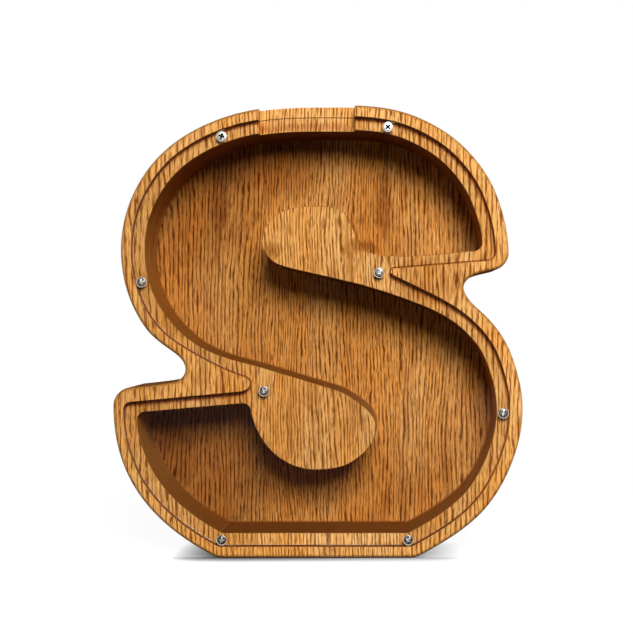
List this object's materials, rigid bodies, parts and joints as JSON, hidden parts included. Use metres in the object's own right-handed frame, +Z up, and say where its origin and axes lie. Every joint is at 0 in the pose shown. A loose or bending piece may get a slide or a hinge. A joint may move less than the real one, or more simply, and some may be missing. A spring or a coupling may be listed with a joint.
{
  "type": "money box",
  "caption": "Upright wooden money box in the shape of a letter, with a curving coin channel behind a clear screwed-on cover and a money slot at the top.",
  "frame": {"origin": "middle of the flat base, on the surface it stands on", "axes": "+Z up; the clear cover faces -Y; +X is to the right, seen from the front"},
  "size_m": [0.19, 0.04, 0.21],
  "materials": {
    "oak": "oiled, satin",
    "clear_sheet": "clear acrylic, polished",
    "screw_steel": "bright zinc plate"
  },
  "bodies": {
    "box": {"left_stave": "oak", "middle_stave": "oak", "right_stave": "oak"},
    "cover": {"cover": "clear_sheet"},
    "screw_crown_left": {"screw_crown_left": "screw_steel"},
    "screw_crown_right": {"screw_crown_right": "screw_steel"},
    "screw_left_bowl": {"screw_left_bowl": "screw_steel"},
    "screw_right_bowl": {"screw_right_bowl": "screw_steel"},
    "screw_upper_notch": {"screw_upper_notch": "screw_steel"},
    "screw_lower_notch": {"screw_lower_notch": "screw_steel"},
    "screw_base_left": {"screw_base_left": "screw_steel"},
    "screw_base_right": {"screw_base_right": "screw_steel"}
  },
  "joints": [
    {"name": "cover_off", "type": "slide", "parent": "box", "child": "cover", "axis": [0, -1, 0], "range_m": [0, 0.06]},
    {"name": "screw_crown_left_out", "type": "slide", "parent": "cover", "child": "screw_crown_left", "axis": [0, -1, 0], "range_m": [0, 0.018]},
    {"name": "screw_crown_right_out", "type": "slide", "parent": "cover", "child": "screw_crown_right", "axis": [0, -1, 0], "range_m": [0, 0.018]},
    {"name": "screw_left_bowl_out", "type": "slide", "parent": "cover", "child": "screw_left_bowl", "axis": [0, -1, 0], "range_m": [0, 0.018]},
    {"name": "screw_right_bowl_out", "type": "slide", "parent": "cover", "child": "screw_right_bowl", "axis": [0, -1, 0], "range_m": [0, 0.018]},
    {"name": "screw_upper_notch_out", "type": "slide", "parent": "cover", "child": "screw_upper_notch", "axis": [0, -1, 0], "range_m": [0, 0.018]},
    {"name": "screw_lower_notch_out", "type": "slide", "parent": "cover", "child": "screw_lower_notch", "axis": [0, -1, 0], "range_m": [0, 0.018]},
    {"name": "screw_base_left_out", "type": "slide", "parent": "cover", "child": "screw_base_left", "axis": [0, -1, 0], "range_m": [0, 0.018]},
    {"name": "screw_base_right_out", "type": "slide", "parent": "cover", "child": "screw_base_right", "axis": [0, -1, 0], "range_m": [0, 0.018]}
  ]
}
